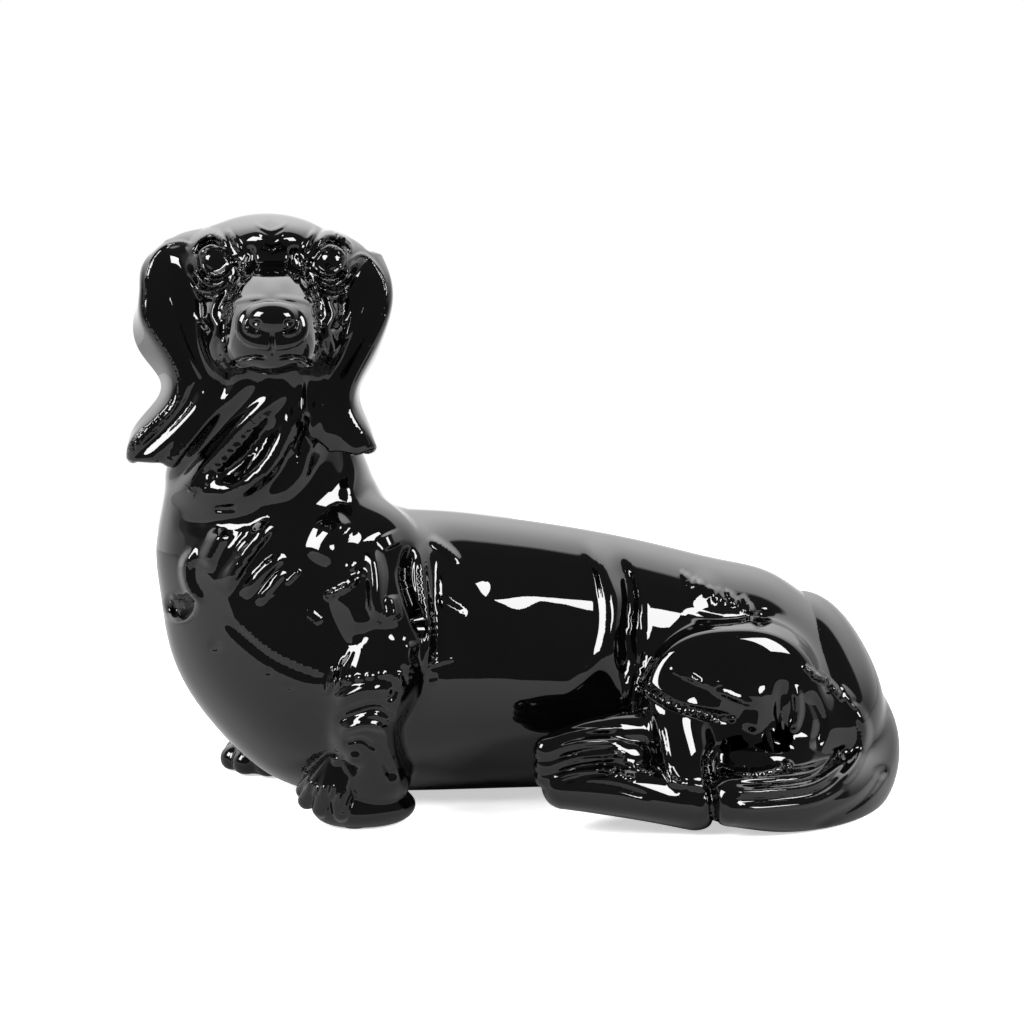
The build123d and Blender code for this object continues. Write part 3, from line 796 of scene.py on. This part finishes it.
def model_figure(grain):
    """Model the whole dog as one body of clay, and cut it apart along its pieces."""
    MASSES.clear()
    STROKES.clear()
    for model in (model_trunk, model_forelegs, model_hind_legs, model_tail, model_head, model_ears):
        model()
    mesh = remesh(rough_clay(), ROUGH_GRAIN)
    put_points(mesh, settle(get_points(mesh), 5, strokes=False, eps=0.8)[0])
    mesh = remesh(mesh, grain)
    points, normals, piece = settle(get_points(mesh), 3)
    put_points(mesh, points)
    keep_normals(mesh, normals)
    corners = np.empty(len(mesh.loops), int)
    mesh.loops.foreach_get("vertex_index", corners)
    ends = np.cumsum([len(face.vertices) for face in mesh.polygons])
    colour = piece[corners[ends - 1]]
    for name in PIECES:
        mesh.materials.append(bpy.data.materials.new(name))
    mesh.polygons.foreach_set("material_index", colour)
    body = bpy.data.objects.new("clay", mesh)
    bpy.context.collection.objects.link(body)
    bpy.context.view_layer.objects.active = body
    body.select_set(True)
    before = set(bpy.data.objects)
    bpy.ops.object.mode_set(mode="EDIT")
    bpy.ops.mesh.select_all(action="SELECT")
    bpy.ops.mesh.separate(type="MATERIAL")
    bpy.ops.object.mode_set(mode="OBJECT")
    for obj in [body] + [obj for obj in bpy.data.objects if obj not in before]:
        obj.name = obj.material_slots[0].material.name + "_clay"
        obj.select_set(False)


def refine(mesh):
    """Give a piece twice as fine a mesh, and settle its new points on the clay."""
    obj = bpy.data.objects.new("refine", mesh)
    bpy.context.collection.objects.link(obj)
    mod = obj.modifiers.new("finer", "SUBSURF")
    mod.subdivision_type = "SIMPLE"
    mod.levels = mod.render_levels = 1
    fine = bpy.data.meshes.new_from_object(obj.evaluated_get(bpy.context.evaluated_depsgraph_get()))
    bpy.data.objects.remove(obj)
    bm = bmesh.new()
    bm.from_mesh(fine)
    rim = np.array([vert.is_boundary for vert in bm.verts])
    bm.free()
    points = get_points(fine)
    settled, normals, _ = settle(points, 2, eps=0.2, normal_eps=0.3)
    settled[rim] = points[rim]
    put_points(fine, settled)
    keep_normals(fine, normals)
    return fine


def close_inside(bm, depth):
    """Turn the cut edges of a piece inwards and close them, out of sight."""
    rim = [edge for edge in bm.edges if edge.is_boundary]
    if not rim:
        return
    note = bm.verts.layers.float_vector["clay normal"]
    turned = bmesh.ops.extrude_edge_only(bm, edges=rim)["geom"]
    for vert in turned:
        if isinstance(vert, bmesh.types.BMVert):
            vert.co -= vert[note].normalized() * depth
    bmesh.ops.holes_fill(bm, edges=[edge for edge in bm.edges if edge.is_boundary], sides=0)


def fire(name, material, fine):
    """Finish one piece cut from the clay, and put it in its place on the table."""
    clay_piece = bpy.data.objects[name + "_clay"]
    mesh = clay_piece.data
    bpy.data.objects.remove(clay_piece)
    if fine:
        mesh = refine(mesh)
    bm = bmesh.new()
    bm.from_mesh(mesh)
    close_inside(bm, RIM_DEPTH)
    bmesh.ops.triangulate(bm, faces=[face for face in bm.faces if len(face.verts) > 4])
    for face in bm.faces:
        face.smooth = True
    bmesh.ops.translate(bm, verts=bm.verts, vec=Vector(STAND))
    bmesh.ops.scale(bm, verts=bm.verts, vec=(MM, MM, MM))
    glazed = bpy.data.meshes.new("glazed_" + name)
    bm.to_mesh(glazed)
    bm.free()
    normals = np.empty(3 * len(glazed.vertices))
    glazed.attributes["clay normal"].data.foreach_get("vector", normals)
    glazed.normals_split_custom_set_from_vertices(normals.reshape(-1, 3).tolist())
    glazed.attributes.remove(glazed.attributes["clay normal"])
    glazed.materials.clear()
    glazed.materials.append(material)
    piece = bpy.data.objects.new("glazed_" + name, glazed)
    bpy.context.collection.objects.link(piece)
    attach(piece, "root")
    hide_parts(name)
    return piece


class Value:
    """A socket that takes part in arithmetic, each step adding a Math node."""

    def __init__(self, nodes, socket):
        self.nodes, self.socket = nodes, socket

    def math(self, kind, *others):
        return self.nodes.add("ShaderNodeMath", {"operation": kind}, dict(enumerate((self, *others))))

    def __add__(self, other):
        return self.math("ADD", other)

    def __mul__(self, other):
        return self.math("MULTIPLY", other)

    def __sub__(self, other):
        return self.math("SUBTRACT", other)

    def __rsub__(self, other):
        return self.math("MULTIPLY", -1.0) + other if other else self.math("MULTIPLY", -1.0)

    __radd__, __rmul__ = __add__, __mul__

    def step(self, low, high):
        """0 below low, 1 above high, and smooth between."""
        return self.nodes.add("ShaderNodeMapRange", {"interpolation_type": "SMOOTHSTEP"},
                              {0: self, 1: low, 2: high})


class Nodes:
    """A material's or the sky's node tree."""

    def __init__(self, owner):
        owner.use_nodes = True
        self.tree = owner.node_tree
        self.tree.nodes.clear()

    def add(self, kind, settings=None, sockets=None, out=0):
        """A node of that type, with its settings, and the values or links of its sockets."""
        node = self.tree.nodes.new(kind)
        for name, setting in (settings or {}).items():
            if name == "stops":
                while len(node.color_ramp.elements) < len(setting):
                    node.color_ramp.elements.new(0.5)
                for element, (place, colour) in zip(node.color_ramp.elements, setting):
                    element.position, element.color = place, colour
            else:
                setattr(node, name, setting)
        for name, value in (sockets or {}).items():
            if isinstance(value, Value):
                self.tree.links.new(value.socket, node.inputs[name])
            else:
                node.inputs[name].default_value = value
        return Value(self, node.outputs[out]) if node.outputs else None


def glaze_material(look):
    """Black glaze, thick and glassy, with the bare clay of the soles under it."""
    material = bpy.data.materials.new("running_glaze")
    nodes = Nodes(material)
    place = nodes.add("ShaderNodeTexCoord", out="Object")
    height = nodes.add("ShaderNodeSeparateXYZ", sockets={0: place}, out="Z")

    def clouds(size, detail=2.0, rough=0.5):
        return nodes.add("ShaderNodeTexNoise", sockets={
            "Vector": place, "Scale": 1 / (size * MM), "Detail": detail, "Roughness": rough})

    bare = 1 - height.step((PAD_LOW[2] + (SOLE + 0.1) * MM), (PAD_LOW[2] + (SOLE + 0.45) * MM))
    specks = nodes.add("ShaderNodeTexVoronoi", sockets={
        "Vector": place, "Scale": 1 / (5.5 * MM)}, out="Distance")
    pinhole = (1 - specks.step(0.02, 0.05)) * clouds(9.0).step(0.55, 0.62)
    pool = clouds(30.0, 1.0)
    relief = pool * (look.waviness * 0.16 * MM) + clouds(2.2, 1.0) * (look.waviness * 0.003 * MM)
    grain = bare * clouds(0.7, 3.0) * (0.12 * MM)
    bump = nodes.add("ShaderNodeBump", sockets={
        "Strength": 1.0, "Distance": 1.0, "Height": relief + grain - pinhole * (0.05 * MM)})
    black = (*look.glaze_colour, 1.0)
    thin = tuple(1.5 * c + 0.0003 for c in look.glaze_colour) + (1.0,)
    skin = nodes.add("ShaderNodeMix", {"data_type": "RGBA"}, {
        0: pool.step(0.35, 0.75) * 0.5, 6: black, 7: thin}, out=2)
    body = nodes.add("ShaderNodeMix", {"data_type": "RGBA"}, {
        0: clouds(1.6, 4.0).step(0.3, 0.7), 6: (*look.clay_colour, 1.0),
        7: tuple(0.86 * c for c in look.clay_colour) + (1.0,)}, out=2)
    colour = nodes.add("ShaderNodeMix", {"data_type": "RGBA"}, {0: bare, 6: skin, 7: body}, out=2)
    haze = clouds(24.0, 4.0).step(0.45, 0.8) * 0.02
    surface = nodes.add("ShaderNodeBsdfPrincipled", sockets={
        "Base Color": colour, "Roughness": haze * (1 - bare) + bare * (0.85 - look.roughness) + look.roughness,
        "Normal": bump, "IOR": 1.46})
    nodes.add("ShaderNodeOutputMaterial", sockets={"Surface": surface})
    return material


def felt_material(look):
    """Pressed wool felt under the soles."""
    material = bpy.data.materials.new("dark_felt")
    nodes = Nodes(material)
    place = nodes.add("ShaderNodeTexCoord", out="Object")
    fibre = nodes.add("ShaderNodeTexNoise", sockets={
        "Vector": place, "Scale": 1 / (0.35 * MM), "Detail": 5.0, "Roughness": 0.7, "Distortion": 1.5})
    tuft = nodes.add("ShaderNodeTexNoise", sockets={"Vector": place, "Scale": 1 / (1.8 * MM), "Detail": 2.0})
    light = tuple(min(1.0, 2.2 * c) for c in look.felt_colour) + (1.0,)
    colour = nodes.add("ShaderNodeMix", {"data_type": "RGBA"}, {
        0: fibre * 0.7 + tuft * 0.3, 6: (*look.felt_colour, 1.0), 7: light}, out=2)
    bump = nodes.add("ShaderNodeBump", sockets={
        "Strength": 1.0, "Distance": 1.0, "Height": fibre * (0.12 * MM) + tuft * (0.15 * MM)})
    surface = nodes.add("ShaderNodeBsdfPrincipled", sockets={
        "Base Color": colour, "Roughness": fibre * 0.1 + 0.85, "Normal": bump,
        "Sheen Weight": 0.3, "Sheen Roughness": 0.4})
    nodes.add("ShaderNodeOutputMaterial", sockets={"Surface": surface})
    return material


def floor_material(look):
    """The studio's white sweep."""
    material = bpy.data.materials.new("white_floor")
    nodes = Nodes(material)
    place = nodes.add("ShaderNodeTexCoord", out="Object")
    tooth = nodes.add("ShaderNodeTexNoise", sockets={"Vector": place, "Scale": 400.0, "Detail": 2.0})
    paper = nodes.add("ShaderNodeBsdfPrincipled", sockets={
        "Base Color": (*look.floor_colour, 1.0), "Roughness": tooth * 0.05 + 0.9, "Specular IOR Level": 0.1,
        "Emission Color": (1, 1, 1, 1), "Emission Strength": 0.55})
    mirrored = nodes.add("ShaderNodeBsdfDiffuse", sockets={
        "Color": tuple(0.5 * c for c in look.floor_colour) + (1.0,)})
    eye = nodes.add("ShaderNodeLightPath", out="Is Camera Ray")
    nodes.add("ShaderNodeOutputMaterial", sockets={"Surface": nodes.add("ShaderNodeMixShader", sockets={
        0: eye, 1: mirrored, 2: paper})})
    return material


def studio_sky(look):
    """A white backdrop behind and above the figure, and a dark room before it."""
    sky = bpy.data.worlds.new("studio")
    nodes = Nodes(sky)
    way = nodes.add("ShaderNodeTexCoord", out="Generated")

    def along(direction):
        return nodes.add("ShaderNodeVectorMath", {"operation": "DOT_PRODUCT"}, {
            0: way, 1: tuple(direction)}, out=1)

    front = np.array([TOWARDS[0], TOWARDS[1], 0.0])
    front /= np.linalg.norm(front)
    left = np.array([-ACROSS[0], -ACROSS[1], 0.0])
    ahead, aside, up = along(front), along(left), along((0, 0, 1))
    behind = 1 - (ahead + up * 0.40).step(-0.06, 0.03)
    wall = (aside - ahead * 0.25).step(0.80, 0.95) * (1 - up.step(0.35, 0.6))
    far = (0 - ahead).step(0.1, 0.8) * 0.6 + 0.4
    glow = 0.16 + behind * (far + up.step(0.05, 0.8) * 2.4) + wall * 0.3
    lit = nodes.add("ShaderNodeCombineColor", sockets={0: glow, 1: glow, 2: glow * 1.01})
    studio = nodes.add("ShaderNodeBackground", sockets={"Color": lit, "Strength": look.backdrop})
    paper = nodes.add("ShaderNodeBackground", sockets={"Color": (1, 1, 1, 1), "Strength": 1.0})
    eye = nodes.add("ShaderNodeLightPath", out="Is Camera Ray")
    nodes.add("ShaderNodeOutputWorld", sockets={"Surface": nodes.add("ShaderNodeMixShader", sockets={
        0: eye, 1: studio, 2: paper})})
    bpy.context.scene.world = sky


def softbox(name, azimuth, elevation, distance, size, glow, target=(0.0, 0.0, 0.12)):
    """A rectangular light box round the stand, that the glaze mirrors and the eye doesn't see."""
    turn = STOOL_TURN + math.radians(azimuth)
    rise = math.radians(elevation)
    way = Vector((math.sin(turn) * math.cos(rise), -math.cos(turn) * math.cos(rise), math.sin(rise)))
    light = bpy.data.lights.new(name, "AREA")
    light.shape = "RECTANGLE"
    light.size, light.size_y = size
    light.energy = glow * math.pi * size[0] * size[1]
    box = bpy.data.objects.new(name, light)
    box.visible_camera = False
    box.location = Vector(target) + way * distance
    box.rotation_euler = way.to_track_quat("Z", "Y").to_euler()
    bpy.context.collection.objects.link(box)


class ClaySettings(bpy.types.PropertyGroup):
    grain: bpy.props.FloatProperty(
        name="Grain", description="Size of the faces of the modelled clay, in millimetres",
        default=1.45, min=0.8, max=4.0)


class GlazeSettings(bpy.types.PropertyGroup):
    glaze_colour: bpy.props.FloatVectorProperty(
        name="Glaze", description="Colour of the glaze", subtype="COLOR", size=3,
        default=(0.0007, 0.0007, 0.0008), min=0.0, max=1.0)
    clay_colour: bpy.props.FloatVectorProperty(
        name="Bare clay", description="Colour of the unglazed soles", subtype="COLOR", size=3,
        default=(0.62, 0.54, 0.44), min=0.0, max=1.0)
    roughness: bpy.props.FloatProperty(
        name="Roughness", description="Roughness of the glaze", subtype="FACTOR",
        default=0.01, min=0.0, max=1.0)
    waviness: bpy.props.FloatProperty(
        name="Waviness", description="How far the glaze has run and pooled", subtype="FACTOR",
        default=1.0, min=0.0, max=4.0)
    felt_colour: bpy.props.FloatVectorProperty(
        name="Felt", description="Colour of the felt pads", subtype="COLOR", size=3,
        default=(0.02, 0.02, 0.022), min=0.0, max=1.0)


class StageSettings(bpy.types.PropertyGroup):
    floor_colour: bpy.props.FloatVectorProperty(
        name="Floor", description="Colour of the floor", subtype="COLOR", size=3,
        default=(0.88, 0.88, 0.88), min=0.0, max=1.0)
    floor_reach: bpy.props.FloatProperty(
        name="Floor reach", description="How far the floor comes before the figure", subtype="DISTANCE",
        unit="LENGTH", default=0.36, min=0.2, max=4.0)
    backdrop: bpy.props.FloatProperty(
        name="Backdrop", description="Brightness of the backdrop", subtype="FACTOR",
        default=1.0, min=0.0, max=10.0)
    softboxes: bpy.props.FloatProperty(
        name="Light boxes", description="Brightness of the light boxes", default=26.0, min=0.0, max=200.0)


class DACHSHUND_OT_clay(bpy.types.Operator):
    """Model the dog in clay and cut it into its pieces"""
    bl_idname = "dachshund.clay"
    bl_label = "Model the clay"

    def execute(self, context):
        model_figure(context.scene.dachshund_clay.grain)
        glaze_material(context.scene.dachshund_glaze)
        return {"FINISHED"}


def glaze_pieces(names, fine):
    for name in names:
        fire(name, bpy.data.materials["running_glaze"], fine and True)


class DACHSHUND_OT_trunk(bpy.types.Operator):
    """Finish and glaze the trunk and neck"""
    bl_idname = "dachshund.trunk"
    bl_label = "Trunk"

    def execute(self, context):
        glaze_pieces(["trunk"], False)
        return {"FINISHED"}


class DACHSHUND_OT_head(bpy.types.Operator):
    """Finish and glaze the head"""
    bl_idname = "dachshund.head"
    bl_label = "Head"

    def execute(self, context):
        glaze_pieces(["head"], True)
        return {"FINISHED"}


class DACHSHUND_OT_ears(bpy.types.Operator):
    """Finish and glaze the hanging ears"""
    bl_idname = "dachshund.ears"
    bl_label = "Ears"

    def execute(self, context):
        glaze_pieces(["ear_left", "ear_right"], True)
        return {"FINISHED"}


class DACHSHUND_OT_forelegs(bpy.types.Operator):
    """Finish and glaze the forelegs"""
    bl_idname = "dachshund.forelegs"
    bl_label = "Forelegs"

    def execute(self, context):
        glaze_pieces(["foreleg_left"], True)
        glaze_pieces(["foreleg_right"], False)
        return {"FINISHED"}


class DACHSHUND_OT_hind_legs(bpy.types.Operator):
    """Finish and glaze the haunches and hind feet"""
    bl_idname = "dachshund.hind_legs"
    bl_label = "Hind legs"

    def execute(self, context):
        glaze_pieces(["hind_leg_left"], True)
        glaze_pieces(["hind_leg_right"], False)
        return {"FINISHED"}


class DACHSHUND_OT_tail(bpy.types.Operator):
    """Finish and glaze the tail"""
    bl_idname = "dachshund.tail"
    bl_label = "Tail"

    def execute(self, context):
        glaze_pieces(["tail"], True)
        return {"FINISHED"}


class DACHSHUND_OT_felt(bpy.types.Operator):
    """Give the felt pads under the soles their felt"""
    bl_idname = "dachshund.felt"
    bl_label = "Felt pads"

    def execute(self, context):
        pads = frame["nodes"]["felt_pads"]
        felt = felt_material(context.scene.dachshund_glaze)
        if not pads.material_slots:
            pads.data.materials.append(felt)
        for slot in pads.material_slots:
            slot.material = felt
        return {"FINISHED"}


class DACHSHUND_OT_stage(bpy.types.Operator):
    """Set the floor, the lights and the camera"""
    bl_idname = "dachshund.stage"
    bl_label = "Stage"

    def execute(self, context):
        look = context.scene.dachshund_stage
        bm = bmesh.new()
        bmesh.ops.create_grid(bm, x_segments=1, y_segments=1, size=1.0)
        front, back = -look.floor_reach, 0.6
        bmesh.ops.scale(bm, verts=bm.verts, vec=(2.2, (back - front) / 2, 1))
        bmesh.ops.translate(bm, verts=bm.verts, vec=(0, (back + front) / 2, CAD_BOUNDS[0][2]))
        mesh = bpy.data.meshes.new("studio_floor")
        bm.to_mesh(mesh)
        bm.free()
        mesh.materials.append(floor_material(look))
        floor = bpy.data.objects.new("studio_floor", mesh)
        context.collection.objects.link(floor)
        studio_sky(look)
        softbox("box_right", 52, 34, 1.5, (0.55, 0.8), look.softboxes)
        softbox("box_left", -58, 34, 1.5, (0.55, 0.8), look.softboxes)
        lens = bpy.data.cameras.new("stool")
        lens.sensor_width = 36.0
        lens.lens = 36.0 * 2.03 * STOOL_DISTANCE / 1024
        camera = bpy.data.objects.new("stool", lens)
        context.collection.objects.link(camera)
        eye = (AIM + STAND + TOWARDS * STOOL_DISTANCE) * MM
        axes = np.stack([ACROSS, UPWARDS, TOWARDS], 1)
        camera.matrix_world = Matrix(np.block([[axes, eye[:, None]], [np.zeros(3), 1]]).tolist())
        context.scene.camera = camera
        context.scene.view_settings.view_transform = "Standard"
        return {"FINISHED"}


OPERATORS = (DACHSHUND_OT_clay, DACHSHUND_OT_trunk, DACHSHUND_OT_head, DACHSHUND_OT_ears, DACHSHUND_OT_forelegs,
             DACHSHUND_OT_hind_legs, DACHSHUND_OT_tail, DACHSHUND_OT_felt, DACHSHUND_OT_stage)
SETTINGS = {"dachshund_clay": ClaySettings, "dachshund_glaze": GlazeSettings, "dachshund_stage": StageSettings}


class DACHSHUND_PT_panel(bpy.types.Panel):
    """The dachshund's pieces, sizes and colours"""
    bl_idname = "DACHSHUND_PT_panel"
    bl_label = "Dachshund"
    bl_space_type = "VIEW_3D"
    bl_region_type = "UI"
    bl_category = "Dachshund"

    def draw(self, context):
        for name, group in SETTINGS.items():
            box = self.layout.box()
            for prop in group.__annotations__:
                box.prop(getattr(context.scene, name), prop)
        for operator in OPERATORS:
            self.layout.operator(operator.bl_idname)


def register():
    for cls in (*SETTINGS.values(), *OPERATORS, DACHSHUND_PT_panel):
        bpy.utils.register_class(cls)
    for name, group in SETTINGS.items():
        setattr(bpy.types.Scene, name, bpy.props.PointerProperty(type=group))


def unregister():
    for name in SETTINGS:
        delattr(bpy.types.Scene, name)
    for cls in reversed((*SETTINGS.values(), *OPERATORS, DACHSHUND_PT_panel)):
        bpy.utils.unregister_class(cls)


def main():
    register()
    for operator in OPERATORS:
        group, name = operator.bl_idname.split(".")
        getattr(getattr(bpy.ops, group), name)()
    for name in PIECES:
        bpy.data.materials.remove(bpy.data.materials[name])


if __name__ == "__main__":
    main()
